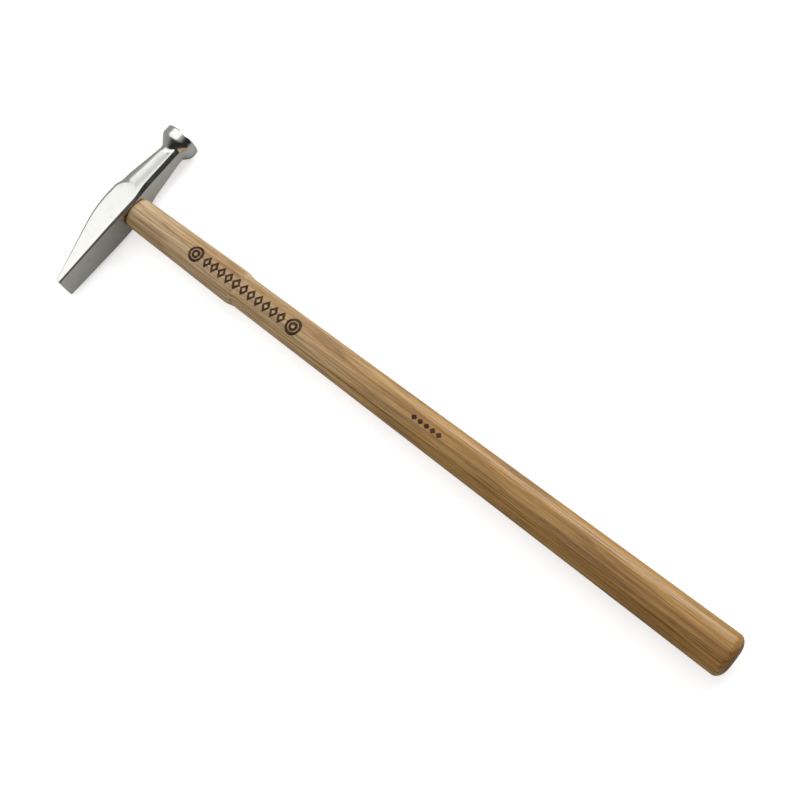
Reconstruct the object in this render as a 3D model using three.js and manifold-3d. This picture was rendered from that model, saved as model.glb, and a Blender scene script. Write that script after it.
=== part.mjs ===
// Small cross-pein blacksmith's hammer: a forged steel head wedged onto a hickory handle.
// Millimetres. The hammer lies on its side on the plane Z = 0: +X runs along the head towards the
// striking face, +Y leaves the top of the head, the handle runs towards -Y, and +Z points up.
import * as THREE from "three";
import { ConvexGeometry } from "three/addons/geometries/ConvexGeometry.js";
import { mergeVertices } from "three/addons/utils/BufferGeometryUtils.js";
import Module from "manifold-3d";

const wasm = await Module();
wasm.setup();

// Driving dimensions of the head. Lengths run along +X, and heights are measured from the flat
// underside of the pein along +Y.
const HEAD_LENGTH = 94;
const PEIN_LENGTH = 39.2;
const PEIN_TO_EYE = 10.8;
const EYE_TO_FLAT_END = 4;
const BODY_LENGTH = 22.8;
const FACE_LENGTH = 12;
const RIM_LENGTH = 3.7;

const TIP_THICKNESS = 2.5;
const TIP_WIDTH = 13.6;
const PEIN_END_HEIGHT = 15.5;
const PEIN_END_WIDTH = 15.8;
const FLAT_END_WIDTH = 14.2;
const CREASE_BOTTOM = 1.5;
const CREASE_TOP = 17.4;
const CREASE_WIDTH = 12.8;
const NECK_BOTTOM = 3.1;
const NECK_TOP = 14;
const NECK_WIDTH = 9.3;

const FACE_DIAMETER = 18.5;
const FACE_CENTRE_HEIGHT = 9.3;
const FACE_EDGE_RADIUS = 0.9;
const FACE_CROWN = 0.8;
const FLARE_LAP = 1.5;
const FLARE_SEGMENTS = 56;

// The eye is an oval that widens towards the top of the head.
const EYE_LENGTH = 14.4;
const EYE_WIDTH = 8.4;
const EYE_TOP_FLARE = 1.12;
const OVAL_SEGMENTS = 64;

// Driving dimensions of the handle, measured from the head's underside towards -Y. Widths are
// along X, and the oval is thinner along Z.
const HANDLE_REACH = 337.5;
const HANDLE_OVALITY = 0.76;
const ROOT_LEDGE = 0.65;
const SHOULDER_WIDTH = 17.6;
const SHOULDER_AT = 70;
const SHOULDER_LENGTH = 5;
const SHAFT_WIDTH = 15.7;
const BUTT_WIDTH = 18.9;
const BUTT_EDGE_RADIUS = 3.2;
const TENON_PROUD = 0.5;

// The wedges: a hardwood one along the eye, and a steel one driven across it.
const EYE_WEDGE_DEPTH = 12.5;
const EYE_WEDGE_TOP = 2.4;
const EYE_WEDGE_TOE = 0.9;
const CROSS_WEDGE_WIDTH = 5.6;
const CROSS_WEDGE_DEPTH = 8;
const CROSS_WEDGE_TOP = 1.9;
const CROSS_WEDGE_TOE = 0.6;

// Clearance between pieces that touch, and how far a cutting solid reaches past what it cuts.
const GAP = 0.3;
const REACH_PAST = 2;

// Stations along the head, measured from the pein's edge.
const eyeStation = PEIN_LENGTH + PEIN_TO_EYE;
const flatEnd = eyeStation + EYE_TO_FLAT_END;
const crease = PEIN_LENGTH + BODY_LENGTH;
const neckEnd = HEAD_LENGTH - FACE_LENGTH;
const faceEdge = HEAD_LENGTH - FACE_CROWN;
const rimStart = faceEdge - RIM_LENGTH;

// The tenon stands a little proud of the top of the head, which slopes gently over the eye.
const eyeTopHeight = topHeight(eyeStation + (EYE_LENGTH / 2) * EYE_TOP_FLARE);
const tenonTop = eyeTopHeight + TENON_PROUD;

function topHeight(station) {
  const along = (station - PEIN_LENGTH) / BODY_LENGTH;
  return THREE.MathUtils.lerp(PEIN_END_HEIGHT, CREASE_TOP, along);
}

// Boolean work: three.js geometry in, three.js geometry out.
function toSolid(geometry) {
  const bare = geometry.clone();
  bare.deleteAttribute("normal");
  bare.deleteAttribute("uv");
  const merged = mergeVertices(bare, 1e-5);
  const mesh = new wasm.Mesh({
    numProp: 3,
    vertProperties: new Float32Array(merged.attributes.position.array),
    triVerts: new Uint32Array(merged.index.array),
  });
  return new wasm.Manifold(mesh);
}

function toGeometry(solid) {
  const mesh = solid.getMesh();
  const geometry = new THREE.BufferGeometry();
  geometry.setAttribute("position", new THREE.BufferAttribute(new Float32Array(mesh.vertProperties), 3));
  geometry.setIndex(new THREE.BufferAttribute(new Uint32Array(mesh.triVerts), 1));
  geometry.computeVertexNormals();
  return geometry;
}

// One cross-section of the head: a rectangle with its four long edges bevelled. Each bevel is given
// by its reach down the cheek and its reach across the face it joins.
function headSection({ station, bottom, top, width, lowerBevel, upperBevel }) {
  const corners = [];
  for (const side of [-1, 1]) {
    const cheek = (side * width) / 2;
    corners.push(new THREE.Vector3(station, bottom, cheek - side * lowerBevel.across));
    corners.push(new THREE.Vector3(station, bottom + lowerBevel.up, cheek));
    corners.push(new THREE.Vector3(station, top - upperBevel.up, cheek));
    corners.push(new THREE.Vector3(station, top, cheek - side * upperBevel.across));
  }
  return corners;
}

function headSections() {
  const tipSection = headSection({
    station: 0,
    bottom: 0,
    top: TIP_THICKNESS,
    width: TIP_WIDTH,
    lowerBevel: { up: 0.3, across: 0.3 },
    upperBevel: { up: 0.3, across: 0.3 },
  });
  const peinEndSection = headSection({
    station: PEIN_LENGTH,
    bottom: 0,
    top: PEIN_END_HEIGHT,
    width: PEIN_END_WIDTH,
    lowerBevel: { up: 0.6, across: 0.5 },
    upperBevel: { up: 0.7, across: 0.8 },
  });
  const flatEndSection = headSection({
    station: flatEnd,
    bottom: 0,
    top: topHeight(flatEnd),
    width: FLAT_END_WIDTH,
    lowerBevel: { up: 1.5, across: 0.9 },
    upperBevel: { up: 1.8, across: 2.4 },
  });
  const creaseSection = headSection({
    station: crease,
    bottom: CREASE_BOTTOM,
    top: CREASE_TOP,
    width: CREASE_WIDTH,
    lowerBevel: { up: 1.8, across: 1.1 },
    upperBevel: { up: 3.4, across: 3.9 },
  });
  const neckEndSection = headSection({
    station: neckEnd,
    bottom: NECK_BOTTOM,
    top: NECK_TOP,
    width: NECK_WIDTH,
    lowerBevel: { up: 1.4, across: 1.2 },
    upperBevel: { up: 1.8, across: 2.2 },
  });
  return [tipSection, peinEndSection, flatEndSection, creaseSection, neckEndSection];
}

// The round striking end: a hollow flare out of the neck, a short straight rim and a low crown. The
// profile runs from the axis inside the neck to the axis at the crown, radius first.
function faceFlare() {
  const radius = FACE_DIAMETER / 2;
  const throat = Math.min(NECK_WIDTH, NECK_TOP - NECK_BOTTOM) / 2 - GAP;
  const flareStart = neckEnd - FLARE_LAP;
  const flareLength = rimStart - flareStart;
  const profile = new THREE.Path();
  profile.moveTo(0, flareStart);
  profile.lineTo(throat, flareStart);
  profile.bezierCurveTo(
    throat, flareStart + 0.42 * flareLength,
    radius, rimStart - 0.32 * flareLength,
    radius, rimStart,
  );
  profile.lineTo(radius, faceEdge - FACE_EDGE_RADIUS);
  profile.quadraticCurveTo(radius, faceEdge, radius - FACE_EDGE_RADIUS, faceEdge);
  profile.quadraticCurveTo(radius / 2, HEAD_LENGTH, 0, HEAD_LENGTH);
  const lathe = new THREE.LatheGeometry(profile.getPoints(10), FLARE_SEGMENTS);
  lathe.rotateZ(-Math.PI / 2);
  lathe.translate(0, FACE_CENTRE_HEIGHT, 0);
  return toSolid(lathe);
}

// A tapered oval bar along the handle's axis, from one height to another. Its size is given at the
// head's underside, grows up to the top of the eye and shrinks by the inset all round.
function eyeBar(low, high, inset) {
  const growth = (EYE_TOP_FLARE - 1) / eyeTopHeight;
  const length = EYE_LENGTH / 2 - inset;
  const width = EYE_WIDTH / 2 - inset;
  const bar = new THREE.CylinderGeometry(
    1 + growth * high, 1 + growth * low, high - low, OVAL_SEGMENTS,
  );
  bar.scale(length, 1, width);
  bar.translate(eyeStation, (low + high) / 2, 0);
  return toSolid(bar);
}

// A flat wedge pointing down the handle, made as an extruded trapezium centred on the eye.
function wedge({ depth, topThickness, toeThickness, width, across, grow }) {
  const top = tenonTop + (grow > 0 ? REACH_PAST : 0);
  const toe = tenonTop - depth - grow;
  const slope = (topThickness - toeThickness) / depth;
  const outline = new THREE.Shape();
  const halfToe = toeThickness / 2 + grow;
  const halfTop = halfToe + (slope * (top - toe)) / 2;
  outline.moveTo(-halfToe, toe);
  outline.lineTo(halfToe, toe);
  outline.lineTo(halfTop, top);
  outline.lineTo(-halfTop, top);
  const length = width + 2 * grow;
  const body = new THREE.ExtrudeGeometry(outline, { depth: length, bevelEnabled: false });
  body.translate(0, 0, -length / 2);
  if (!across) {
    body.rotateY(Math.PI / 2);
  }
  body.translate(eyeStation, 0, 0);
  return toSolid(body);
}

function eyeWedge(grow) {
  return wedge({
    depth: EYE_WEDGE_DEPTH,
    topThickness: EYE_WEDGE_TOP,
    toeThickness: EYE_WEDGE_TOE,
    width: EYE_LENGTH * EYE_TOP_FLARE,
    across: false,
    grow,
  });
}

function crossWedge(grow) {
  return wedge({
    depth: CROSS_WEDGE_DEPTH,
    topThickness: CROSS_WEDGE_TOP,
    toeThickness: CROSS_WEDGE_TOE,
    width: CROSS_WEDGE_WIDTH,
    across: true,
    grow,
  });
}

function buildHead() {
  const sections = headSections();
  let head = faceFlare();
  for (let i = 0; i + 1 < sections.length; i += 1) {
    head = head.add(toSolid(new ConvexGeometry([...sections[i], ...sections[i + 1]])));
  }
  return head.subtract(eyeBar(-REACH_PAST, CREASE_TOP + REACH_PAST, 0));
}

function handleOutline() {
  const butt = -HANDLE_REACH;
  const outline = new THREE.Path();
  const stepTop = -SHOULDER_AT;
  const stepBottom = -SHOULDER_AT - SHOULDER_LENGTH;
  outline.moveTo(0, butt);
  outline.lineTo(BUTT_WIDTH / 2 - BUTT_EDGE_RADIUS, butt);
  outline.quadraticCurveTo(BUTT_WIDTH / 2, butt, BUTT_WIDTH / 2, butt + BUTT_EDGE_RADIUS);
  outline.lineTo(SHAFT_WIDTH / 2, stepBottom);
  outline.bezierCurveTo(
    SHAFT_WIDTH / 2, stepBottom + SHOULDER_LENGTH * 0.4,
    SHOULDER_WIDTH / 2, stepTop - SHOULDER_LENGTH * 0.4,
    SHOULDER_WIDTH / 2, stepTop,
  );
  outline.lineTo(EYE_LENGTH / 2 + ROOT_LEDGE, -GAP);
  outline.lineTo(0, -GAP);
  return outline.getPoints(8);
}

function buildHandle() {
  const shaft = new THREE.LatheGeometry(handleOutline(), OVAL_SEGMENTS);
  shaft.scale(1, 1, HANDLE_OVALITY);
  shaft.translate(eyeStation, 0, 0);
  return toSolid(shaft)
    .add(eyeBar(-GAP - REACH_PAST, tenonTop, GAP))
    .subtract(eyeWedge(GAP))
    .subtract(crossWedge(GAP));
}

function buildEyeWedge() {
  return eyeWedge(0)
    .intersect(eyeBar(-REACH_PAST, tenonTop + REACH_PAST, GAP))
    .subtract(crossWedge(GAP));
}

const forgedSteel = new THREE.MeshStandardMaterial({ color: 0xd2d2d0, metalness: 1, roughness: 0.22 });
const hickory = new THREE.MeshStandardMaterial({ color: 0xb98d5c, metalness: 0, roughness: 0.42 });
const beech = new THREE.MeshStandardMaterial({ color: 0xc9a274, metalness: 0, roughness: 0.6 });
const wedgeSteel = new THREE.MeshStandardMaterial({ color: 0x8c8c8a, metalness: 1, roughness: 0.45 });

function namedMesh(name, solid, material) {
  const mesh = new THREE.Mesh(toGeometry(solid), material);
  mesh.name = name;
  return mesh;
}

const hammer = new THREE.Group();
hammer.add(namedMesh("hammer_head", buildHead(), forgedSteel));
hammer.add(namedMesh("handle", buildHandle(), hickory));
hammer.add(namedMesh("eye_wedge", buildEyeWedge(), beech));
hammer.add(namedMesh("cross_wedge", crossWedge(0), wedgeSteel));

// The origin is under the middle of the hammer's box, on the plane it lies on.
const box = new THREE.Box3().setFromObject(hammer);
hammer.position.set(
  -(box.min.x + box.max.x) / 2,
  -(box.min.y + box.max.y) / 2,
  -box.min.z,
);

export default hammer;
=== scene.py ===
import math
from collections import namedtuple

import bmesh
import bpy
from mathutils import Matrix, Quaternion, Vector


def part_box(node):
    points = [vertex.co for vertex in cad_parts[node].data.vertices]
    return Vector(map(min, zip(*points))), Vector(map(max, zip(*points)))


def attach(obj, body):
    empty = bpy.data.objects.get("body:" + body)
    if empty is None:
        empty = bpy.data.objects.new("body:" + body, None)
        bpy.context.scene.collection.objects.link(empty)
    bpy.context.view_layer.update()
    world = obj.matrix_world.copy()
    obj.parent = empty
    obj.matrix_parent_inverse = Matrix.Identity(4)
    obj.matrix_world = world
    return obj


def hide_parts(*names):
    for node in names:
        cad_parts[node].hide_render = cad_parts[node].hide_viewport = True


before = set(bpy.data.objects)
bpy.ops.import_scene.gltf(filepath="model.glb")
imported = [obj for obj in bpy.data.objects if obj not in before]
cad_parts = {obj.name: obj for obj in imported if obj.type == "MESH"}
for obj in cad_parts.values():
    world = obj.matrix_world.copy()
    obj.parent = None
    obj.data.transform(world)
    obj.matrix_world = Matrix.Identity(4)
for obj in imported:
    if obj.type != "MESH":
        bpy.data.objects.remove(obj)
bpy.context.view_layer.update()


# ---- Hammer head ------------------------------------------------------------------
# A light smith's hammer head, forged in steel, ground and bright plated. The pein
# tapers to a blunt edge, an oval eye is punched through the body for the handle, and
# past a fold line the neck is drawn down and then upset into the round face.

MM = 0.001
head_low, head_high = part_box("hammer_head")
handle_low, handle_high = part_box("handle")
TIP_X = head_low[0]
UNDERSIDE_Y = head_low[1]
MID_Z = (head_low[2] + head_high[2]) / 2
EYE_X = (handle_low[0] + handle_high[0]) / 2

# Stations run from the pein tip, heights from the flat underside, both in millimetres.
# A bevel is a rise up the cheek and a run across the top or the underside, and rounding
# is the radius of the upper corners. Ease is the length over which the shape turns from
# one straight run into the next.
Section = namedtuple(
    "Section", "station bottom top width low_rise low_run high_rise high_run rounding ease",
)
HEAD_SECTIONS = (
    Section(0, 0, 2.5, 13.6, 0.8, 0.7, 0.3, 0.3, 0.2, 0),
    Section(39.2, 0, 15.5, 15.8, 0.9, 0.8, 1.3, 1.2, 0.9, 9),
    Section(54, 0, 16.75, 14.2, 1.5, 1.3, 2.0, 1.9, 1.2, 1.5),
    Section(58, 0.75, 17.1, 13.5, 1.7, 1.6, 3.4, 3.5, 3.0, 1.5),
    Section(62, 1.5, 17.4, 12.8, 1.9, 1.8, 3.6, 3.7, 3.2, 1.6),
    Section(82, 3.1, 14.0, 9.3, 1.9, 1.9, 1.8, 2.2, 1.6, 0),
)
FOLD_STATION = 57.0
FOLD_HEIGHT = 9.5
FOLD_HALF_HEIGHT = 7.5
FOLD_BOW = 4.5
FOLD_FOOT = 3.0
FOLD_STEP = 0.32
FOLD_LENGTH = 3.0

# The lower corners share one small radius, and no corner takes more than its share of the
# edges beside it. A run of rings has the station where it ends and its number of rings.
EDGE_RADIUS_LOW = 0.35
CORNER_SHARE = 0.45
CORNER_STEPS = 5
EDGE_SPREAD = (0.05, 0.15, 0.25, 0.35, 0.45, 0.55, 0.65, 0.75, 0.85, 0.95)
STATION_RUNS = ((50, 66), (64, 50), (79, 24), (89.5, 36))
TIP_BREAK = 0.25

FACE_CENTRE = 9.3
FACE_RADIUS = 9.25
FACE_EDGE_RADIUS = 0.9
FACE_EDGE = 93.2
FACE_CROWN = 0.8
RIM_START = 89.5
RIM_STEPS = 5
RIM_EDGE_STEPS = 8
CROWN_STEPS = 12
FLARE_START = 80.5
FLARE_THROAT = 4.35
FLARE_PULL_NECK = 0.42
FLARE_PULL_RIM = 0.32
FLARE_BLEND = 0.5
FLARE_HALVINGS = 30

EYE_LENGTH = 14.4
EYE_WIDTH = 8.4
EYE_TOP_GROWTH = 0.12
EYE_DEPTH = 17.07
EYE_STEPS = 8
MOUTH_DEPTH = 0.6
MOUTH_FLARE = 0.6
MOUTH_STEPS = 6
PUNCH_BELOW = 3
PUNCH_STEPS_PAST = 2
OVAL_STEPS = 96
SHARP_ANGLE = math.radians(40)


def lerp(start, end, share):
    """The value a share of the way from start to end."""
    return start + (end - start) * share


def eased(share):
    """0 to 1 with level ends, for a share that may run past either end."""
    share = min(max(share, 0.0), 1.0)
    return share * share * (3 - 2 * share)


def along_head(measure, station):
    """One measure of the head's section at a station, turning softly at each named section."""
    stops = [(s.station, getattr(s, measure), s.ease) for s in HEAD_SECTIONS]
    value = stops[-1][1]
    for (x0, v0, _), (x1, v1, _) in zip(stops, stops[1:]):
        if station <= x1:
            value = lerp(v0, v1, (station - x0) / (x1 - x0))
            break
    for (x0, v0, _), (x1, v1, ease), (x2, v2, _) in zip(stops, stops[1:], stops[2:]):
        turn = (v2 - v1) / (x2 - x1) - (v1 - v0) / (x1 - x0)
        reach = max(0.0, ease - abs(station - x1))
        value += turn * reach * reach / (4 * ease)
    return value


def section_corners(station):
    """The eight corners of the bevelled section, as (across, height), going round once."""
    bottom = along_head("bottom", station)
    top = along_head("top", station)
    side = along_head("width", station) / 2
    low_side = bottom + along_head("low_rise", station)
    high_side = top - along_head("high_rise", station)
    floor = side - along_head("low_run", station)
    crown = side - along_head("high_run", station)
    right = [(floor, bottom), (side, low_side), (side, high_side), (crown, top)]
    left = [(-across, height) for across, height in reversed(right)]
    return [Vector(corner) for corner in right + left]


def rounded_corner(before, corner, after, radius):
    """Points round one corner, from the edge before it to the edge after it."""
    reach_in = min(radius, CORNER_SHARE * (before - corner).length)
    reach_out = min(radius, CORNER_SHARE * (after - corner).length)
    start = corner + (before - corner).normalized() * reach_in
    end = corner + (after - corner).normalized() * reach_out
    points = []
    for step in range(CORNER_STEPS + 1):
        share = step / CORNER_STEPS
        points.append(lerp(lerp(start, corner, share), lerp(corner, end, share), share))
    return points


def rounded_section(station):
    """The section's outline, with rounded corners and points spread along its flats."""
    corners = section_corners(station)
    rounding = along_head("rounding", station)
    radii = (EDGE_RADIUS_LOW, EDGE_RADIUS_LOW, rounding, rounding)
    radii += tuple(reversed(radii))
    bends = []
    for index, corner in enumerate(corners):
        before = corners[index - 1]
        after = corners[(index + 1) % len(corners)]
        bends.append(rounded_corner(before, corner, after, radii[index]))
    outline = []
    for bend, following in zip(bends, bends[1:] + bends[:1]):
        outline += bend
        outline += [lerp(bend[-1], following[0], share) for share in EDGE_SPREAD]
    return outline


def flare_radius(station):
    """The radius of the flare from neck to rim, on a curve that leaves both ends level."""
    if station <= FLARE_START:
        return 0.0
    length = RIM_START - FLARE_START
    first = FLARE_START + FLARE_PULL_NECK * length
    second = RIM_START - FLARE_PULL_RIM * length
    low, high = 0.0, 1.0
    for _ in range(FLARE_HALVINGS):
        t = (low + high) / 2
        s = 1 - t
        pulled = 3 * s * s * t * first + 3 * s * t * t * second
        reached = s**3 * FLARE_START + pulled + t**3 * RIM_START
        low, high = (t, high) if reached < station else (low, t)
    return lerp(FLARE_THROAT, FACE_RADIUS, eased(t))


def swollen(point, radius):
    """A section point pushed out to the flare where the flare stands outside the neck."""
    arm = point - Vector((0, FACE_CENTRE))
    reach = arm.length
    overlap = max(0.0, FLARE_BLEND - abs(reach - radius)) / FLARE_BLEND
    wanted = max(reach, radius) + overlap * overlap * FLARE_BLEND / 4
    return Vector((0, FACE_CENTRE)) + arm * (wanted / reach)


def fold_station(height):
    """Where the bowed fold line crosses the cheek at a height above the underside."""
    return FOLD_STATION - FOLD_BOW * ((height - FOLD_HEIGHT) / FOLD_HALF_HEIGHT) ** 2


def folded(station, point):
    """A section point let in a little past the fold line, most of all high on the cheek."""
    share = eased((point.y - FOLD_FOOT) / (FOLD_HEIGHT - FOLD_FOOT))
    step = FOLD_STEP * share * eased((station - fold_station(point.y)) / FOLD_LENGTH)
    side = along_head("width", station) / 2
    return Vector((point.x * (1 - step / side), point.y))


def head_point(station, point):
    """A point of a section in the row frame, in metres."""
    return Vector((TIP_X + station * MM, UNDERSIDE_Y + point.y * MM, MID_Z + point.x * MM))


def neck_and_body_rings():
    """Rings from the blunt tip to the start of the rim."""
    rings = []
    tip = rounded_section(0)
    centre = Vector((0, along_head("top", 0) / 2))
    shrink = 1 - 2 * TIP_BREAK / along_head("top", 0)
    rings.append([head_point(0, lerp(centre, point, shrink)) for point in tip])
    start = TIP_BREAK
    for end, steps in STATION_RUNS:
        for step in range(steps):
            station = lerp(start, end, step / steps)
            radius = flare_radius(station)
            section = [folded(station, point) for point in rounded_section(station)]
            rings.append([head_point(station, swollen(point, radius)) for point in section])
        start = end
    return rings


def face_profile():
    """Stations and radii along the rim, round its edge and over the crowned face."""
    edge_start = FACE_EDGE - FACE_EDGE_RADIUS
    profile = []
    for step in range(RIM_STEPS):
        profile.append((lerp(RIM_START, edge_start, step / RIM_STEPS), FACE_RADIUS))
    for step in range(RIM_EDGE_STEPS + 1):
        turn = math.pi / 2 * step / RIM_EDGE_STEPS
        station = FACE_EDGE - FACE_EDGE_RADIUS * (1 - math.sin(turn))
        profile.append((station, FACE_RADIUS - FACE_EDGE_RADIUS * (1 - math.cos(turn))))
    flat_radius = FACE_RADIUS - FACE_EDGE_RADIUS
    for step in range(1, CROWN_STEPS):
        radius = flat_radius * (1 - step / CROWN_STEPS)
        profile.append((FACE_EDGE + FACE_CROWN * (1 - (radius / flat_radius) ** 2), radius))
    return profile


def face_rings():
    """Rings along the rim, round its edge and over the crowned face."""
    centre = Vector((0, FACE_CENTRE))
    directions = [(point - centre).normalized() for point in rounded_section(RIM_START)]
    rings = []
    for station, radius in face_profile():
        rings.append([head_point(station, centre + direction * radius) for direction in directions])
    return rings


def lofted(rings, end_point=None):
    """A closed mesh through rings of equal length, capped flat or drawn to an end point."""
    shape = bmesh.new()
    rows = [[shape.verts.new(point) for point in ring] for ring in rings]
    for row, following in zip(rows, rows[1:]):
        for index in range(len(row)):
            nearby = index - 1
            shape.faces.new((row[nearby], row[index], following[index], following[nearby]))
    shape.faces.new(rows[0])
    if end_point is None:
        shape.faces.new(rows[-1])
    else:
        tip = shape.verts.new(end_point)
        for index in range(len(rows[-1])):
            shape.faces.new((rows[-1][index - 1], rows[-1][index], tip))
    bmesh.ops.recalc_face_normals(shape, faces=shape.faces)
    return shape


def made_object(name, shape):
    """An object at the origin holding a bmesh shape."""
    mesh = bpy.data.meshes.new(name)
    shape.to_mesh(mesh)
    shape.free()
    made = bpy.data.objects.new(name, mesh)
    bpy.context.scene.collection.objects.link(made)
    return made


def applied(piece):
    """The piece with its modifiers made real."""
    bpy.context.view_layer.update()
    depsgraph = bpy.context.evaluated_depsgraph_get()
    mesh = bpy.data.meshes.new_from_object(piece.evaluated_get(depsgraph))
    piece.modifiers.clear()
    piece.data = mesh
    return piece


def combined(piece, tool, operation):
    """The piece cut by a tool, or kept only inside it. The tool is then thrown away."""
    modifier = piece.modifiers.new("combine", "BOOLEAN")
    modifier.operation = operation
    modifier.solver = "EXACT"
    modifier.object = tool
    applied(piece)
    bpy.data.objects.remove(tool)
    return piece


def finish_with(piece, material):
    """Gives a piece its one material, and smooth faces with a hard edge at each sharp turn."""
    piece.data.materials.clear()
    piece.data.materials.append(material)
    piece.data.shade_smooth()
    piece.data.set_sharp_from_angle(angle=SHARP_ANGLE)


def oval_ring(height, length, width):
    """A ring of the eye's oval at a height above the underside, from its two full sizes."""
    ring = []
    for step in range(OVAL_STEPS):
        turn = 2 * math.pi * step / OVAL_STEPS
        x = EYE_X + length / 2 * math.cos(turn) * MM
        z = MID_Z + width / 2 * math.sin(turn) * MM
        ring.append(Vector((x, UNDERSIDE_Y + height * MM, z)))
    return ring


def eye_oval(height, margin):
    """The eye's oval at a height, grown or shrunk by a margin all round."""
    growth = 1 + EYE_TOP_GROWTH * height / EYE_DEPTH
    return oval_ring(height, EYE_LENGTH * growth + 2 * margin, EYE_WIDTH * growth + 2 * margin)


def eye_punch():
    """What the punch takes out: a tapered oval with a softened mouth at the underside."""
    rings = [eye_oval(-PUNCH_BELOW, MOUTH_DEPTH), eye_oval(-MOUTH_DEPTH / 2, MOUTH_DEPTH)]
    for step in range(MOUTH_STEPS + 1):
        rise = math.sin(math.pi / 2 * step / MOUTH_STEPS)
        rings.append(eye_oval(MOUTH_DEPTH * rise, MOUTH_DEPTH * (1 - rise) * MOUTH_FLARE))
    for step in range(1, EYE_STEPS + PUNCH_STEPS_PAST + 1):
        rings.append(eye_oval(EYE_DEPTH * step / EYE_STEPS, 0))
    return made_object("eye_punch", lofted(rings))


def add_node(tree, kind, inputs=None, **settings):
    """A shader node with its settings, and its inputs filled with values or with links."""
    made = tree.nodes.new(kind)
    for name, value in settings.items():
        setattr(made, name, value)
    for name, value in (inputs or {}).items():
        if isinstance(value, bpy.types.NodeSocket):
            tree.links.new(value, made.inputs[name])
        else:
            made.inputs[name].default_value = value
    return made


def maths(tree, operation, *values):
    """The result of a Math node on numbers or sockets."""
    inputs = dict(enumerate(values))
    return add_node(tree, "ShaderNodeMath", inputs, operation=operation).outputs[0]


def ranged(tree, value, low, high, to_low=0.0, to_high=1.0):
    """A value eased from one range to another, and held inside it."""
    inputs = {"Value": value, "From Min": low, "From Max": high, "To Min": to_low, "To Max": to_high}
    return add_node(tree, "ShaderNodeMapRange", inputs, interpolation_type="SMOOTHSTEP").outputs[0]


def mixed(tree, amount, first, second, blend="MIX"):
    """One colour laid over another by an amount, or multiplied into it."""
    inputs = {0: amount, 6: first, 7: second}
    return add_node(tree, "ShaderNodeMix", inputs, data_type="RGBA", blend_type=blend).outputs[2]


def laid_over(tree, colour, over, mask, amount):
    """A colour with another laid over it where a mask says, by an amount at most."""
    return mixed(tree, maths(tree, "MULTIPLY", mask, amount), colour, over)


def noise(tree, place, stretch, scale, detail, warp=0.0):
    """Noise on a stretched copy of the place, with its scale in cells to the metre."""
    mapping = add_node(tree, "ShaderNodeMapping", {"Vector": place, "Scale": stretch})
    inputs = {"Vector": mapping.outputs[0], "Scale": scale, "Detail": detail, "Distortion": warp}
    return add_node(tree, "ShaderNodeTexNoise", inputs).outputs[0]


def new_material(name):
    """A material, its node tree, the inputs of its surface, and the place its textures use."""
    material = bpy.data.materials.new(name)
    material.use_nodes = True
    tree = material.node_tree
    place = add_node(tree, "ShaderNodeTexCoord").outputs["Object"]
    return material, tree, tree.nodes["Principled BSDF"].inputs, place


def new_group(name, inputs, outputs):
    """A shader node group with its sockets, and its input and output nodes."""
    tree = bpy.data.node_groups.new(name, "ShaderNodeTree")
    for socket_name, kind, default in inputs:
        socket = tree.interface.new_socket(socket_name, in_out="INPUT", socket_type=kind)
        if default is not None:
            socket.default_value = default
    for socket_name, kind in outputs:
        tree.interface.new_socket(socket_name, in_out="OUTPUT", socket_type=kind)
    return tree, tree.nodes.new("NodeGroupInput").outputs, tree.nodes.new("NodeGroupOutput")


# Each noise has a stretch, a scale, a detail and sometimes a warp, and each range the two
# values of the noise between which its effect grows from none to full.
BRUSHING = ((1, 1, 1), 4200, 3.0)
SMEARS = ((1, 1, 1), 190, 5.0, 0.4)
WAVES = ((1, 1, 1), 120, 2.0)
PITS = ((1, 1, 1), 900, 2.0)
SMEAR_RANGE = (0.6, 0.8)
PITS_RANGE = (0.72, 0.8)
FINISH_LOW = 0.35
FINISH_HIGH = 0.65
BRUSHING_HEIGHT = 0.02
PITS_HEIGHT = -0.12


def worked_metal_group():
    """Ground and polished steel: fine brushing, slow waviness, small pits and smears."""
    tree, given, out = new_group(
        "worked_metal",
        (
            ("Place", "NodeSocketVector", None),
            ("Stretch", "NodeSocketVector", (1, 1, 1)),
            ("Polish", "NodeSocketFloat", 0.1),
            ("Rough", "NodeSocketFloat", 0.3),
        ),
        (("Roughness", "NodeSocketFloat"), ("Height", "NodeSocketFloat"), ("Stain", "NodeSocketFloat")),
    )
    place = given["Place"]
    stretch = {0: place, 1: given["Stretch"]}
    stretched = add_node(tree, "ShaderNodeVectorMath", stretch, operation="MULTIPLY").outputs[0]
    brushing = noise(tree, stretched, *BRUSHING)
    smears = noise(tree, place, *SMEARS)
    waves = noise(tree, place, *WAVES)
    pits = ranged(tree, noise(tree, place, *PITS), *PITS_RANGE)
    finish = maths(tree, "MULTIPLY_ADD", brushing, 0.5, maths(tree, "MULTIPLY", smears, 0.5))
    roughness = add_node(tree, "ShaderNodeMapRange", {
        "Value": finish,
        "From Min": FINISH_LOW,
        "From Max": FINISH_HIGH,
        "To Min": given["Polish"],
        "To Max": given["Rough"],
    })
    height = maths(tree, "MULTIPLY_ADD", brushing, BRUSHING_HEIGHT, waves)
    height = maths(tree, "MULTIPLY_ADD", pits, PITS_HEIGHT, height)
    stain = maths(tree, "MAXIMUM", pits, ranged(tree, smears, *SMEAR_RANGE))
    tree.links.new(roughness.outputs[0], out.inputs["Roughness"])
    tree.links.new(height, out.inputs["Height"])
    tree.links.new(stain, out.inputs["Stain"])
    return tree


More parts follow.
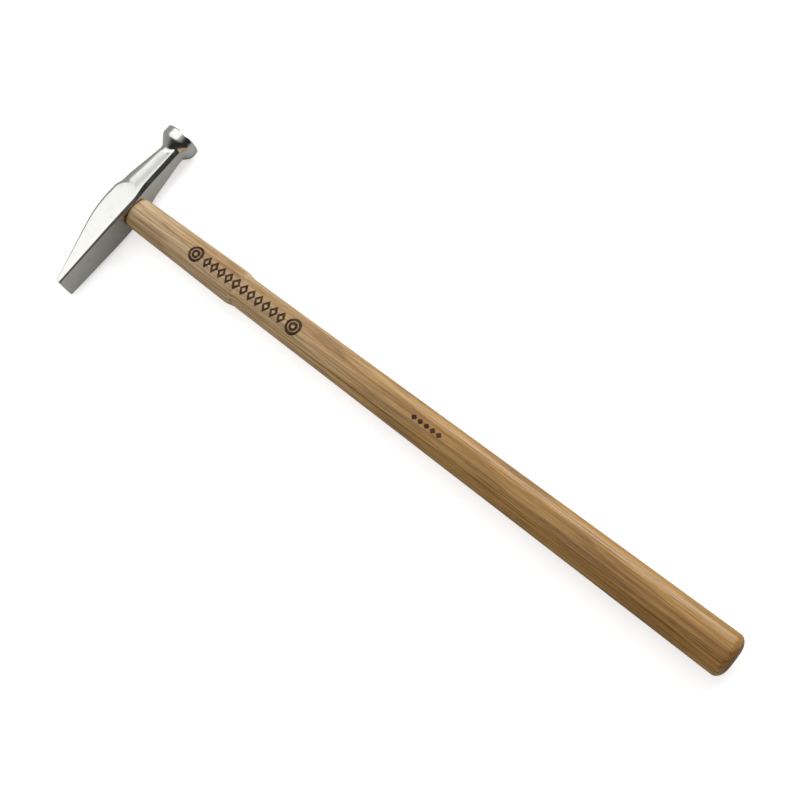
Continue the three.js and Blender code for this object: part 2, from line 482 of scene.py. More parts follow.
WORKED_METAL = worked_metal_group()
STEEL_BRIGHT = (0.83, 0.825, 0.79, 1)
STEEL_STAINED = (0.55, 0.54, 0.51, 1)
STEEL_SHADED = (0.30, 0.29, 0.27, 1)
STEEL_STRETCH = (1, 0.06, 0.06)
STEEL_POLISH = 0.15
STEEL_ROUGH = 0.27
STEEL_STAIN = 0.5
STEEL_BUMP = 0.6
STEEL_BUMP_DEPTH = 0.035 * MM
PIT_STATION = 81.2
PIT_HEIGHT = 7.0
PIT_ACROSS = 4.6
PIT_CORE = 0.2 * MM
PIT_REACH = 0.7 * MM
PIT_SHADE = 0.35
PIT_DEPTH = -3.0


def small_pit(tree, place):
    """A forging pit on the neck's upper cheek, close to the flare."""
    centre = head_point(PIT_STATION, Vector((PIT_ACROSS, PIT_HEIGHT)))
    away = add_node(tree, "ShaderNodeVectorMath", {0: place, 1: centre}, operation="DISTANCE")
    return ranged(tree, away.outputs["Value"], PIT_CORE, PIT_REACH, 1.0, 0.0)


def metal_material(name, stretch, polish, rough):
    """A material with the shared metal in it, for its own colours and bump to be added."""
    material, tree, surface, place = new_material(name)
    metal = add_node(tree, "ShaderNodeGroup", node_tree=WORKED_METAL)
    tree.links.new(place, metal.inputs["Place"])
    metal.inputs["Stretch"].default_value = stretch
    metal.inputs["Polish"].default_value = polish
    metal.inputs["Rough"].default_value = rough
    tree.links.new(metal.outputs["Roughness"], surface["Roughness"])
    surface["Metallic"].default_value = 1.0
    return material, tree, surface, place, metal.outputs


def set_colour_and_bump(tree, surface, colour, height, strength, depth):
    """Links a surface's colour, and the bump that a height makes on it."""
    inputs = {"Strength": strength, "Distance": depth, "Height": height}
    tree.links.new(colour, surface["Base Color"])
    tree.links.new(add_node(tree, "ShaderNodeBump", inputs).outputs[0], surface["Normal"])


def forged_steel():
    """Bright plated forging: brushed across its length, with faint stains and one small pit."""
    material, tree, surface, place, metal = metal_material(
        "forged_steel_bright", STEEL_STRETCH, STEEL_POLISH, STEEL_ROUGH,
    )
    dent = small_pit(tree, place)
    colour = laid_over(tree, STEEL_BRIGHT, STEEL_STAINED, metal["Stain"], STEEL_STAIN)
    colour = laid_over(tree, colour, STEEL_SHADED, dent, PIT_SHADE)
    height = maths(tree, "MULTIPLY_ADD", dent, PIT_DEPTH, metal["Height"])
    set_colour_and_bump(tree, surface, colour, height, STEEL_BUMP, STEEL_BUMP_DEPTH)
    return material


face_middle = head_point(FACE_EDGE + FACE_CROWN, Vector((0, FACE_CENTRE)))
head = made_object("forged_head", lofted(neck_and_body_rings() + face_rings(), face_middle))
combined(head, eye_punch(), "DIFFERENCE")
finish_with(head, forged_steel())
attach(head, "root")
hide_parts("hammer_head")


# ---- Handle -----------------------------------------------------------------------
# A straight grained hickory handle, turned and sanded oval, then lacquered. It widens
# to a soft shoulder, runs on as a slimmer shaft to the grip, and its tongue fills the
# eye, sawn for the wedges. Rows of lozenges and plain rings are burnt into the upper side.

Ring = namedtuple("Ring", "height half_width half_depth")
OVALITY = 0.76
ROOT_HALF = 7.85
ROOT_GAP = 0.3
ROOT_EDGE = 1.1
SHOULDER_HALF = 8.8
SHOULDER_HEIGHT = -69.3
SHAFT_HALF = 7.85
SHAFT_START = -75.3
BUTT_HALF = 9.45
BUTT_EDGE = 3.8
BUTT_INSET = 6.0
BUTT_FLAT_SHARES = (0.4, 0.8)
BUTT_STEPS = 12
BUTT_HEIGHT = (handle_low[1] - UNDERSIDE_Y) / MM
TENON_MARGIN = 0.04
TENON_TOP = (handle_high[1] - UNDERSIDE_Y) / MM
TENON_EDGE = 0.25
TENON_STEPS = 8
ROOT_STEPS = 6
SOFT_STEPS = 14
RING_SPACING = 3.0

EYE_WEDGE_DEPTH = 12.5
EYE_WEDGE_TOP = 2.4
EYE_WEDGE_TOE = 0.9
CROSS_WEDGE_WIDTH = 5.6
CROSS_WEDGE_DEPTH = 8.0
CROSS_WEDGE_TOP = 1.9
CROSS_WEDGE_TOE = 0.6
SLOT_MARGIN = 0.05
PAST_TOP = 1.0
GROUND_PROUD = 0.12
GROUND_REACH = 12
GROUND_UP_TO = 25
GROUND_STATIONS = (36, 40, 44, 48, 50, 52, 54, 56, 58, 60, 64)

END_GRAIN_FROM = handle_low[1] + 0.3 * MM
END_GRAIN_TO = handle_low[1] + 1.6 * MM
END_GRAIN_SHADE = 0.8
# Painted shade: the handle darkens toward its root under the head, where the head's shade falls. Above the
# underside the same darkening stays on the tongue's end grain in the eye.
ROOT_PAINTED_SHADE_AND_TONGUE_END_GRAIN = 0.5
ROOT_PAINTED_SHADE_FROM = UNDERSIDE_Y - 2.8 * MM
ROOT_PAINTED_SHADE_TO = UNDERSIDE_Y - 0.4 * MM
TINT_FROM = 170 * MM
TINT_TO = -60 * MM

MARK_START = 56.5 * MM
MARK_END = 109 * MM
MARK_COUNT = 11
MARK_HALF = 3.4 * MM
ROUND_MARK_RADIUS = 4.1 * MM
ROUND_MARK_SETBACK = 5.2 * MM
SMALL_MARK_START = -35.5 * MM
SMALL_MARK_END = -18.5 * MM
SMALL_MARK_COUNT = 5
SMALL_MARK_HALF = 1.5 * MM
LOZENGE_EDGE = (0.86, 0.98)
LOZENGE_LINE_AT = 0.66
LOZENGE_LINE = (0.25, 0.35)
ROUND_MARK_LINES_AT = (0.38, 0.82)
ROUND_MARK_LINE = (0.13, 0.21)

HICKORY_PALE = (0.76, 0.58, 0.36, 1)
HICKORY_TAN = (0.54, 0.36, 0.18, 1)
HICKORY_DARK = (0.18, 0.09, 0.03, 1)
GRIP_TINT = (0.68, 0.51, 0.25, 1)
BURNT_BROWN = (0.026, 0.008, 0.002, 1)
SCORCH_RANGE = (0.3, 0.7)
SCORCH_FAINTEST = 0.86
MARK_DEPTH = -2.0
COAT_ON_WOOD = 0.42
COAT_ON_MARKS = 0.02
COAT_ROUGHNESS = 0.26
LACQUER_SHINE = 0.15
WOOD_BUMP = 0.5
WOOD_BUMP_DEPTH = 0.06 * MM
HICKORY_FIGURE = 1.0


def oval(height, half_width):
    """A ring of the handle's own oval."""
    return Ring(height, half_width, half_width * OVALITY)


def butt_rings():
    """Rings round the edge of the butt, from its flat end out to the grip."""
    rings = [oval(BUTT_HEIGHT, (BUTT_HALF - BUTT_INSET) * share) for share in BUTT_FLAT_SHARES]
    for step in range(BUTT_STEPS + 1):
        turn = math.pi / 2 * step / BUTT_STEPS
        height = BUTT_HEIGHT + BUTT_EDGE * (1 - math.cos(turn))
        rings.append(oval(height, BUTT_HALF - BUTT_INSET * (1 - math.sin(turn))))
    return rings


def run_of_rings(start, end, start_half, end_half, soft=False):
    """Evenly spaced rings after the start up to the end, tapering straight or softly."""
    count = SOFT_STEPS if soft else round(abs(end - start) / RING_SPACING)
    rings = []
    for step in range(1, count + 1):
        share = step / count
        half = lerp(start_half, end_half, eased(share) if soft else share)
        rings.append(oval(lerp(start, end, share), half))
    return rings


def root_rings():
    """Rings over the root's edge, just under the head."""
    rings = []
    for step in range(1, ROOT_STEPS + 1):
        turn = math.pi / 2 * step / ROOT_STEPS
        height = -ROOT_GAP - ROOT_EDGE * (1 - math.sin(turn))
        rings.append(oval(height, ROOT_HALF - ROOT_EDGE * (1 - math.cos(turn))))
    return rings


def tenon_ring(height, margin):
    """A ring of the tongue that fills the eye."""
    growth = 1 + EYE_TOP_GROWTH * max(0, height) / EYE_DEPTH
    return Ring(height, EYE_LENGTH / 2 * growth - margin, EYE_WIDTH / 2 * growth - margin)


def tenon_rings():
    """Rings up the tongue to its trimmed top."""
    rings = [tenon_ring(-ROOT_GAP, TENON_MARGIN)]
    for step in range(TENON_STEPS):
        rings.append(tenon_ring(TENON_TOP * step / TENON_STEPS, TENON_MARGIN))
    rings.append(tenon_ring(TENON_TOP - TENON_EDGE, TENON_MARGIN))
    rings.append(tenon_ring(TENON_TOP, TENON_MARGIN + TENON_EDGE))
    return rings


def handle_rings():
    """Every ring of the handle, from the butt to the top of the tongue."""
    grip = run_of_rings(BUTT_HEIGHT + BUTT_EDGE, SHAFT_START, BUTT_HALF, SHAFT_HALF)
    shoulder = run_of_rings(SHAFT_START, SHOULDER_HEIGHT, SHAFT_HALF, SHOULDER_HALF, soft=True)
    neck = run_of_rings(SHOULDER_HEIGHT, -ROOT_GAP - ROOT_EDGE, SHOULDER_HALF, ROOT_HALF)
    return butt_rings() + grip + shoulder + neck + root_rings() + tenon_rings()


def axis_line(rings):
    """The handle's axis as a line of points that carry the half sizes of their rings."""
    mesh = bpy.data.meshes.new("handle_axis")
    points = [(EYE_X, UNDERSIDE_Y + ring.height * MM, MID_Z) for ring in rings]
    mesh.from_pydata(points, [(i, i + 1) for i in range(len(points) - 1)], [])
    for name in ("half_width", "half_depth"):
        values = mesh.attributes.new(name, "FLOAT", "POINT").data
        for value, ring in zip(values, rings):
            value.value = getattr(ring, name) * MM
    made = bpy.data.objects.new("handle_axis", mesh)
    bpy.context.scene.collection.objects.link(made)
    return made


def oval_sweep_tree():
    """Geometry nodes that sweep an oval along a line, sized by the line's half sizes."""
    tree = bpy.data.node_groups.new("oval_sweep", "GeometryNodeTree")
    face = tree.interface
    face.new_socket("Axis", in_out="INPUT", socket_type="NodeSocketGeometry")
    face.new_socket("Points Around", in_out="INPUT", socket_type="NodeSocketInt")
    face.new_socket("Finish", in_out="INPUT", socket_type="NodeSocketMaterial")
    face.new_socket("Piece", in_out="OUTPUT", socket_type="NodeSocketGeometry")
    given = tree.nodes.new("NodeGroupInput").outputs
    out = tree.nodes.new("NodeGroupOutput")
    here = add_node(tree, "GeometryNodeInputPosition").outputs[0]
    marked = add_node(tree, "GeometryNodeStoreNamedAttribute", data_type="FLOAT_VECTOR", domain="POINT")
    marked.inputs["Name"].default_value = "axis_place"
    tree.links.new(given["Axis"], marked.inputs["Geometry"])
    tree.links.new(here, marked.inputs["Value"])
    line = add_node(tree, "GeometryNodeMeshToCurve", {"Mesh": marked.outputs[0]})
    circle = add_node(tree, "GeometryNodeCurvePrimitiveCircle", {"Resolution": given["Points Around"]})
    circle.inputs["Radius"].default_value = 1.0
    swept = add_node(tree, "GeometryNodeCurveToMesh", {
        "Curve": line.outputs[0], "Profile Curve": circle.outputs[0], "Fill Caps": True,
    })
    axis = named_attribute(tree, "axis_place", "FLOAT_VECTOR")
    scale = add_node(tree, "ShaderNodeCombineXYZ", {
        "X": named_attribute(tree, "half_width", "FLOAT"),
        "Y": 0.0,
        "Z": named_attribute(tree, "half_depth", "FLOAT"),
    })
    arm = add_node(tree, "ShaderNodeVectorMath", {0: here, 1: axis}, operation="SUBTRACT")
    stretch = {0: arm.outputs[0], 1: scale.outputs[0]}
    sized = add_node(tree, "ShaderNodeVectorMath", stretch, operation="MULTIPLY")
    placed = add_node(tree, "ShaderNodeVectorMath", {0: sized.outputs[0], 1: axis}, operation="ADD")
    shaped = add_node(tree, "GeometryNodeSetPosition", {
        "Geometry": swept.outputs[0], "Position": placed.outputs[0],
    })
    finished = add_node(tree, "GeometryNodeSetMaterial", {
        "Geometry": shaped.outputs[0], "Material": given["Finish"],
    })
    tree.links.new(finished.outputs[0], out.inputs["Piece"])
    return tree


def named_attribute(tree, name, data_type):
    """The value that the points carry under a name."""
    return add_node(tree, "GeometryNodeInputNamedAttribute", {"Name": name}, data_type=data_type).outputs[0]


def run_tree(piece, tree, values):
    """Runs a geometry node tree on a piece and keeps its result as a plain mesh."""
    modifier = piece.modifiers.new(tree.name, "NODES")
    modifier.node_group = tree
    for item in tree.interface.items_tree:
        if item.name in values:
            modifier[item.identifier] = values[item.name]
    applied(piece)
    shape = bmesh.new()
    shape.from_mesh(piece.data)
    bmesh.ops.recalc_face_normals(shape, faces=shape.faces)
    shape.to_mesh(piece.data)
    shape.free()
    return piece


def wedge_shape(top, depth, thickness, toe, length, along_eye, margin):
    """A tapered prism standing in the eye, its length along the eye or across it."""
    foot = TENON_TOP - depth - margin
    slope = (thickness - toe) / depth
    halves = ((foot, toe / 2 + margin), (top, toe / 2 + margin + slope * (top - foot) / 2))
    half_length = length / 2 + margin
    rings = []
    for height, half in halves:
        x, z = (half_length, half) if along_eye else (half, half_length)
        y = UNDERSIDE_Y + height * MM
        sides = ((-x, -z), (x, -z), (x, z), (-x, z))
        rings.append([Vector((EYE_X + a * MM, y, MID_Z + b * MM)) for a, b in sides])
    return lofted(rings)


def eye_wedge_shape(top, margin):
    """The long wooden wedge, or the cut that takes it."""
    length = EYE_LENGTH * (1 + EYE_TOP_GROWTH)
    return wedge_shape(top, EYE_WEDGE_DEPTH, EYE_WEDGE_TOP, EYE_WEDGE_TOE, length, True, margin)


def cross_wedge_shape(top, margin):
    """The short steel wedge, or the cut that takes it."""
    size = (CROSS_WEDGE_DEPTH, CROSS_WEDGE_TOP, CROSS_WEDGE_TOE, CROSS_WEDGE_WIDTH)
    return wedge_shape(top, *size, False, margin)


def ground_flush(piece):
    """The piece with all that stands above the head's sloping top ground away."""
    rings = []
    for station in GROUND_STATIONS:
        low = along_head("top", station) + GROUND_PROUD
        foot = [(-GROUND_REACH, low), (GROUND_REACH, low)]
        roof = [(GROUND_REACH, GROUND_UP_TO), (-GROUND_REACH, GROUND_UP_TO)]
        rings.append([head_point(station, Vector(corner)) for corner in foot + roof])
    return combined(piece, made_object("above_head", lofted(rings)), "DIFFERENCE")


# Each noise has a stretch, a scale, a detail and sometimes a warp, and each range the two
# values of the noise between which its effect grows from none to full.
WANDER = ((1, 0.12, 1), 70, 3.0)
FIBRE = ((1, 0.012, 1), 2900, 2.0, 0.2)
STRANDS = ((1, 0.012, 1), 1900, 3.0, 0.3)
GLEAM = ((1, 0.02, 1), 520, 3.0, 0.4)
PORES = ((1, 0.05, 1), 2800, 2.0)
BROAD = ((1, 0.1, 1), 110, 3.0)
SCORCH = ((1, 0.3, 1), 900, 3.0)
FIBRE_RANGE = (0.46, 0.62)
STRANDS_RANGE = (0.53, 0.61)
GLEAM_RANGE = (0.52, 0.70)
PORES_RANGE = (0.58, 0.68)
BROAD_RANGE = (0.3, 0.7)
ROUGHNESS_RANGE = (0.3, 0.7)
LATE_WOOD_RANGE = (0.45, 0.95)
FIBRE_AMOUNT = 0.40
STRANDS_AMOUNT = 0.50
GLEAM_AMOUNT = 0.6
PORES_AMOUNT = 0.6
LATE_WOOD_AMOUNT = 0.35
HEART_PLACE = (0.021, 0, 0.034)
HEART_LEAN = (0.012, 0, 0.02)
RINGS_TO_THE_METRE = 420
RING_WANDER = 2.6
PORES_IN_EARLY_WOOD = 0.4
FIBRE_HEIGHT = 0.35
PORES_HEIGHT = -0.7
LATE_WOOD_HEIGHT = 0.15
WOOD_SMOOTH = 0.36
WOOD_ROUGH = 0.5


def growth_rings(tree, place):
    """A mask of the dark late wood, on rings about a heart that lies outside the piece."""
    heart = add_node(tree, "ShaderNodeMapping", {
        "Vector": place, "Location": HEART_PLACE, "Rotation": HEART_LEAN, "Scale": (1, 0, 1),
    })
    distance = add_node(tree, "ShaderNodeVectorMath", {0: heart.outputs[0]}, operation="LENGTH")
    counted = maths(tree, "MULTIPLY", distance.outputs["Value"], RINGS_TO_THE_METRE)
    wander = noise(tree, place, *WANDER)
    ring = maths(tree, "FRACT", maths(tree, "MULTIPLY_ADD", wander, RING_WANDER, counted))
    late = ranged(tree, ring, *LATE_WOOD_RANGE)
    return maths(tree, "MULTIPLY", late, ranged(tree, ring, LATE_WOOD_RANGE[1], 1.0, 1.0, 0.0))


def wood_grain_group():
    """Wood grain along Y: growth rings, long fibres, short dark pores and slow colour."""
    tree, given, out = new_group(
        "wood_grain",
        (
            ("Place", "NodeSocketVector", None),
            ("Pale", "NodeSocketColor", HICKORY_PALE),
            ("Tan", "NodeSocketColor", HICKORY_TAN),
            ("Dark", "NodeSocketColor", HICKORY_DARK),
            ("Figure", "NodeSocketFloat", 1.0),
        ),
        (("Color", "NodeSocketColor"), ("Roughness", "NodeSocketFloat"), ("Height", "NodeSocketFloat")),
    )
    place = given["Place"]
    pale, dark = given["Pale"], given["Dark"]
    late = growth_rings(tree, place)
    fibre = noise(tree, place, *FIBRE)
    strands = ranged(tree, noise(tree, place, *STRANDS), *STRANDS_RANGE)
    gleam = ranged(tree, noise(tree, place, *GLEAM), *GLEAM_RANGE)
    broad = ranged(tree, noise(tree, place, *BROAD), *BROAD_RANGE)
    pores = ranged(tree, noise(tree, place, *PORES), *PORES_RANGE)
    crowding = maths(tree, "MULTIPLY_ADD", late, 1 - PORES_IN_EARLY_WOOD, PORES_IN_EARLY_WOOD)
    pores = maths(tree, "MULTIPLY", pores, crowding)
    colour = mixed(tree, broad, pale, given["Tan"])
    colour = laid_over(tree, colour, pale, gleam, GLEAM_AMOUNT)
    figure = maths(tree, "MULTIPLY", late, LATE_WOOD_AMOUNT)
    colour = laid_over(tree, colour, dark, figure, given["Figure"])
    colour = laid_over(tree, colour, dark, strands, STRANDS_AMOUNT)
    colour = laid_over(tree, colour, dark, ranged(tree, fibre, *FIBRE_RANGE), FIBRE_AMOUNT)
    colour = laid_over(tree, colour, dark, pores, PORES_AMOUNT)
    height = maths(tree, "MULTIPLY_ADD", pores, PORES_HEIGHT, maths(tree, "MULTIPLY", fibre, FIBRE_HEIGHT))
    height = maths(tree, "MULTIPLY_ADD", late, LATE_WOOD_HEIGHT, height)
    roughness = ranged(tree, fibre, *ROUGHNESS_RANGE, WOOD_SMOOTH, WOOD_ROUGH)
    tree.links.new(colour, out.inputs["Color"])
    tree.links.new(roughness, out.inputs["Roughness"])
    tree.links.new(height, out.inputs["Height"])
    return tree


def lozenge_row(tree, axes, start, end, count, half, hollow):
    """A mask of lozenges in a row along the middle of the handle."""
    along = maths(tree, "MULTIPLY", maths(tree, "SUBTRACT", axes["Y"], start), count / (end - start))
    in_cell = maths(tree, "ABSOLUTE", maths(tree, "SUBTRACT", maths(tree, "FRACT", along), 0.5))
    from_middle = maths(tree, "ABSOLUTE", maths(tree, "SUBTRACT", along, count / 2))
    across = maths(tree, "ABSOLUTE", maths(tree, "SUBTRACT", axes["X"], EYE_X))
    away = maths(tree, "MULTIPLY_ADD", in_cell, 2.0, maths(tree, "DIVIDE", across, half))
    mask = ranged(tree, away, *LOZENGE_EDGE, 1.0, 0.0)
    if hollow:
        ring = maths(tree, "ABSOLUTE", maths(tree, "SUBTRACT", away, LOZENGE_LINE_AT))
        mask = ranged(tree, ring, *LOZENGE_LINE, 1.0, 0.0)
    return maths(tree, "MULTIPLY", mask, maths(tree, "LESS_THAN", from_middle, count / 2))


def round_mark(tree, place, centre_y):
    """A mask of a plain ring inside another, burnt at one end of the row."""
    flat = add_node(tree, "ShaderNodeVectorMath", {0: place, 1: (1, 1, 0)}, operation="MULTIPLY")
    ends = {0: flat.outputs[0], 1: (EYE_X, centre_y, 0)}
    away = add_node(tree, "ShaderNodeVectorMath", ends, operation="DISTANCE")
    away = maths(tree, "DIVIDE", away.outputs["Value"], ROUND_MARK_RADIUS)
    mask = 0.0
    for ring_radius in ROUND_MARK_LINES_AT:
        ring = maths(tree, "ABSOLUTE", maths(tree, "SUBTRACT", away, ring_radius))
        mask = maths(tree, "MAXIMUM", mask, ranged(tree, ring, *ROUND_MARK_LINE, 1.0, 0.0))
    return mask


def burnt_ornament(tree, place, axes):
    """A mask of all the burnt marks, which lie on the handle's upper side alone."""
    mark = lozenge_row(tree, axes, MARK_START, MARK_END, MARK_COUNT, MARK_HALF, hollow=True)
    small = lozenge_row(
        tree, axes, SMALL_MARK_START, SMALL_MARK_END, SMALL_MARK_COUNT, SMALL_MARK_HALF, hollow=False,
    )
    mark = maths(tree, "MAXIMUM", mark, small)
    for end in (MARK_START - ROUND_MARK_SETBACK, MARK_END + ROUND_MARK_SETBACK):
        mark = maths(tree, "MAXIMUM", mark, round_mark(tree, place, end))
    return maths(tree, "MULTIPLY", mark, maths(tree, "GREATER_THAN", axes["Z"], MID_Z))


def shaded_by_place(tree, axes, colour):
    """The handle's colour, warmer toward the grip, darker at the butt, and with painted shade under the
    head that stays on up the tongue as darker end grain.
    """
    toward_grip = ranged(tree, axes["Y"], TINT_FROM, TINT_TO)
    colour = mixed(tree, toward_grip, colour, GRIP_TINT, "MULTIPLY")
    end_grain = ranged(tree, axes["Y"], END_GRAIN_FROM, END_GRAIN_TO, END_GRAIN_SHADE, 0.0)
    colour = mixed(tree, end_grain, colour, HICKORY_DARK)
    # Painted shade round the root under the head, held on up the tongue as darker end grain.
    painted_shade_and_end_grain_under_head = ranged(tree, axes["Y"], ROOT_PAINTED_SHADE_FROM, ROOT_PAINTED_SHADE_TO, 0.0, ROOT_PAINTED_SHADE_AND_TONGUE_END_GRAIN)
    return mixed(tree, painted_shade_and_end_grain_under_head, colour, HICKORY_DARK)


def wood_material(name, pale, tan, dark, figure, burnt):
    """Wood with the shared grain, and where asked the burnt ornament under the lacquer."""
    material, tree, surface, place = new_material(name)
    grain = add_node(tree, "ShaderNodeGroup", node_tree=WOOD_GRAIN)
    tree.links.new(place, grain.inputs["Place"])
    grain.inputs["Pale"].default_value = pale
    grain.inputs["Tan"].default_value = tan
    grain.inputs["Dark"].default_value = dark
    grain.inputs["Figure"].default_value = figure
    colour = grain.outputs["Color"]
    height = grain.outputs["Height"]
    if burnt:
        axes = add_node(tree, "ShaderNodeSeparateXYZ", {0: place}).outputs
        colour = shaded_by_place(tree, axes, colour)
        mark = burnt_ornament(tree, place, axes)
        scorch = ranged(tree, noise(tree, place, *SCORCH), *SCORCH_RANGE, SCORCH_FAINTEST, 1.0)
        colour = laid_over(tree, colour, BURNT_BROWN, mark, scorch)
        coat = ranged(tree, mark, 0.0, 1.0, COAT_ON_WOOD, COAT_ON_MARKS)
        tree.links.new(coat, surface["Coat Weight"])
        height = maths(tree, "MULTIPLY_ADD", mark, MARK_DEPTH, height)
    tree.links.new(grain.outputs["Roughness"], surface["Roughness"])
    set_colour_and_bump(tree, surface, colour, height, WOOD_BUMP, WOOD_BUMP_DEPTH)
    return material


WOOD_GRAIN = wood_grain_group()
HICKORY = wood_material(
    "lacquered_hickory", HICKORY_PALE, HICKORY_TAN, HICKORY_DARK, HICKORY_FIGURE, burnt=True,
)
lacquer = HICKORY.node_tree.nodes["Principled BSDF"].inputs
lacquer["Coat Roughness"].default_value = COAT_ROUGHNESS
lacquer["Specular IOR Level"].default_value = LACQUER_SHINE

sweep_values = {"Points Around": OVAL_STEPS, "Finish": HICKORY}
handle = run_tree(axis_line(handle_rings()), oval_sweep_tree(), sweep_values)
handle.name = "hickory_handle"
handle.data.name = "hickory_handle"
for wedge_cut in (eye_wedge_shape, cross_wedge_shape):
    combined(handle, made_object("cut", wedge_cut(TENON_TOP + PAST_TOP, SLOT_MARGIN)), "DIFFERENCE")
ground_flush(handle)
finish_with(handle, HICKORY)
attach(handle, "root")
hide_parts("handle")


# ---- Eye wedge ---------------------------------------------------------------------
# A long thin wedge of plain pale wood, driven down a saw cut in the tongue along the
# length of the eye. It spreads the tongue against the eye's cheeks and is trimmed flush.

WEDGE_PALE = (0.66, 0.48, 0.30, 1)
WEDGE_TAN = (0.52, 0.35, 0.19, 1)
WEDGE_DARK = (0.27, 0.155, 0.075, 1)
WEDGE_FIGURE = 0.5
EYE_WEDGE_LOWERED = 0.1
EYE_WEDGE_EDGE = 0.08
EYE_WEDGE_EDGE_STEPS = 2
TRIM_PAST_TOP = 2


def softened(piece, width, steps):
    """The piece with its edges broken by a small rounded bevel."""
    bevel = piece.modifiers.new("edges", "BEVEL")
    bevel.width = width * MM
    bevel.segments = steps
    bevel.limit_method = "ANGLE"
    return applied(piece)


WEDGE_WOOD = wood_material(
    "plain_wedge_wood", WEDGE_PALE, WEDGE_TAN, WEDGE_DARK, WEDGE_FIGURE, burnt=False,
)
eye_wedge = made_object("wooden_eye_wedge", eye_wedge_shape(TENON_TOP - EYE_WEDGE_LOWERED, 0))
inside_eye = [eye_oval(height, -TENON_MARGIN) for height in (0, EYE_DEPTH + TRIM_PAST_TOP)]
combined(eye_wedge, made_object("trim", lofted(inside_eye)), "INTERSECT")
combined(eye_wedge, made_object("cut", cross_wedge_shape(TENON_TOP + PAST_TOP, SLOT_MARGIN)), "DIFFERENCE")
ground_flush(eye_wedge)
softened(eye_wedge, EYE_WEDGE_EDGE, EYE_WEDGE_EDGE_STEPS)
finish_with(eye_wedge, WEDGE_WOOD)
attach(eye_wedge, "root")
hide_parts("eye_wedge")


# ---- Cross wedge --------------------------------------------------------------------
# A short wedge of mild steel plate, driven across the wooden one to lock it. Its top
# is ground level with the tongue and keeps the dull brushed look of cut plate.

PLATE_STEEL = (0.42, 0.41, 0.39, 1)
PLATE_STAINED = (0.16, 0.13, 0.10, 1)
PLATE_STRETCH = (1, 1, 0.05)
PLATE_POLISH = 0.3
PLATE_ROUGH = 0.55
PLATE_BUMP = 0.8
PLATE_BUMP_DEPTH = 0.05 * MM
CROSS_WEDGE_EDGE = 0.12
CROSS_WEDGE_EDGE_STEPS = 3


def plate_steel():
    """Dull brushed plate with a little rust staining."""
    material, tree, surface, _, metal = metal_material(
        "cut_plate_steel", PLATE_STRETCH, PLATE_POLISH, PLATE_ROUGH,
    )
    colour = mixed(tree, metal["Stain"], PLATE_STEEL, PLATE_STAINED)
    set_colour_and_bump(tree, surface, colour, metal["Height"], PLATE_BUMP, PLATE_BUMP_DEPTH)
    return material


cross_wedge = made_object("steel_cross_wedge", cross_wedge_shape(TENON_TOP, 0))
ground_flush(cross_wedge)
softened(cross_wedge, CROSS_WEDGE_EDGE, CROSS_WEDGE_EDGE_STEPS)
finish_with(cross_wedge, plate_steel())
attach(cross_wedge, "root")
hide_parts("cross_wedge")


# ---- Floor and light ----------------------------------------------------------------
# A plain pale table that glows a little, a wide soft ceiling over the head and a stronger
# soft light on the face side. The room is pale to the eye, and the table fades into it far
# off, but in reflections the room is dim, so the plating has dark to show.

FLOOR_HALF = 4.0
FLOOR_PALE = (0.86, 0.86, 0.85, 1)
FLOOR_IN_METAL = (0.43, 0.425, 0.41, 1)
FLOOR_GLOW = (0.56, 0.56, 0.56, 1)
FLOOR_ROUGHNESS = 0.8
FLOOR_FADE_FROM = 0.45
FLOOR_FADE_TO = 1.4
BLACK = (0, 0, 0, 1)
ROOM_FILL = (0.36, 0.36, 0.36, 1)
ROOM_SEEN = (1, 1, 1, 1)
ROOM_DARK = 0.012
ROOM_FAR_SIDE = 0.30
ROOM_OVERHEAD = 0.42
FAR_SIDE_RANGE = (0.2, 0.8)
OVERHEAD_RANGE = (0.6, 1.0)
CEILING_PLACE = (0.05, 0.435, 0.90)
CEILING_AIM = (0.0, 0.1, 0.0)
CEILING_SIZE = (1.7, 1.17)
CEILING_RADIANCE = 0.605
SIDE_PLACE = (0.93, 0.06, 0.38)
SIDE_AIM = (0.0, 0.0, 0.0)
SIDE_SIZE = (0.7, 0.6)
SIDE_RADIANCE = 4.1
POWER_TO_AREA = 4


def pale_floor():
    """A flat pale table, duller in polished metal, that fades far off into the pale room."""
    shape = bmesh.new()
    bmesh.ops.create_grid(shape, x_segments=1, y_segments=1, size=FLOOR_HALF)
    floor = made_object("pale_table", shape)
    material, tree, surface, place = new_material("pale_table")
    ray = add_node(tree, "ShaderNodeLightPath").outputs
    colour = mixed(tree, ray["Is Glossy Ray"], FLOOR_PALE, FLOOR_IN_METAL)
    away = add_node(tree, "ShaderNodeVectorMath", {0: place}, operation="LENGTH").outputs["Value"]
    faded = ranged(tree, away, FLOOR_FADE_FROM, FLOOR_FADE_TO)
    far = maths(tree, "MULTIPLY", ray["Is Camera Ray"], faded)
    tree.links.new(mixed(tree, far, colour, BLACK), surface["Base Color"])
    tree.links.new(mixed(tree, far, FLOOR_GLOW, ROOM_SEEN), surface["Emission Color"])
    tree.links.new(ray["Is Camera Ray"], surface["Emission Strength"])
    surface["Specular IOR Level"].default_value = 0.0
    surface["Roughness"].default_value = FLOOR_ROUGHNESS
    floor.data.materials.append(material)


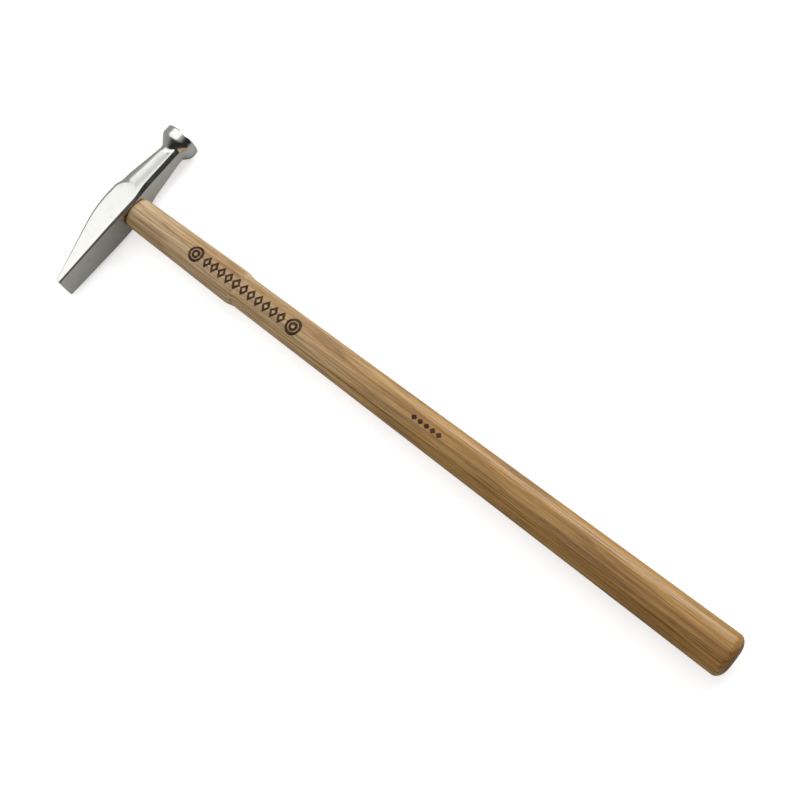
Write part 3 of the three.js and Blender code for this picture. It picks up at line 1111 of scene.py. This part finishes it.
def soft_light(name, place, aim, size, radiance):
    """A soft rectangular light pointing at a spot, out of sight of the camera."""
    lamp = bpy.data.lights.new(name, "AREA")
    lamp.shape = "RECTANGLE"
    lamp.size, lamp.size_y = size
    lamp.energy = POWER_TO_AREA * size[0] * size[1] * radiance
    made = bpy.data.objects.new(name, lamp)
    made.location = place
    made.rotation_mode = "QUATERNION"
    made.rotation_quaternion = (Vector(aim) - Vector(place)).to_track_quat("-Z", "Y")
    made.visible_camera = False
    bpy.context.scene.collection.objects.link(made)


def dim_room():
    """A world that is pale to the eye, fills shadows softly, and is dark in reflections."""
    world = bpy.data.worlds.new("dim_room")
    world.use_nodes = True
    tree = world.node_tree
    ray = add_node(tree, "ShaderNodeLightPath").outputs
    direction = add_node(tree, "ShaderNodeTexCoord").outputs["Generated"]
    axes = add_node(tree, "ShaderNodeSeparateXYZ", {0: direction}).outputs
    far_side = ranged(tree, axes["Y"], *FAR_SIDE_RANGE, ROOM_DARK, ROOM_FAR_SIDE)
    overhead = ranged(tree, axes["Z"], *OVERHEAD_RANGE, 0.0, ROOM_OVERHEAD)
    mirrored = maths(tree, "ADD", far_side, overhead)
    colour = mixed(tree, ray["Is Glossy Ray"], ROOM_FILL, mirrored)
    colour = mixed(tree, ray["Is Camera Ray"], colour, ROOM_SEEN)
    tree.links.new(colour, tree.nodes["Background"].inputs["Color"])
    bpy.context.scene.world = world


pale_floor()
dim_room()
soft_light("soft_ceiling", CEILING_PLACE, CEILING_AIM, CEILING_SIZE, CEILING_RADIANCE)
soft_light("face_side_light", SIDE_PLACE, SIDE_AIM, SIDE_SIZE, SIDE_RADIANCE)


# ---- Camera -------------------------------------------------------------------------
# Above and to the near side of the handle, rolled so that the head is at the upper
# left and the butt at the lower right.

CAMERA_PLACE = (-0.0692, -0.1973, 0.4677)
CAMERA_AIM = (0.00627, -0.00769, 0.00925)
CAMERA_ROLL = -29.73
CAMERA_LENS = 52.97

lens = bpy.data.cameras.new("camera")
lens.lens = CAMERA_LENS
camera = bpy.data.objects.new("camera", lens)
camera.location = CAMERA_PLACE
camera.rotation_mode = "QUATERNION"
facing = (Vector(CAMERA_AIM) - Vector(CAMERA_PLACE)).to_track_quat("-Z", "Y")
camera.rotation_quaternion = facing @ Quaternion((0, 0, 1), math.radians(CAMERA_ROLL))
bpy.context.scene.collection.objects.link(camera)
bpy.context.scene.camera = camera
bpy.context.scene.view_settings.view_transform = "Standard"
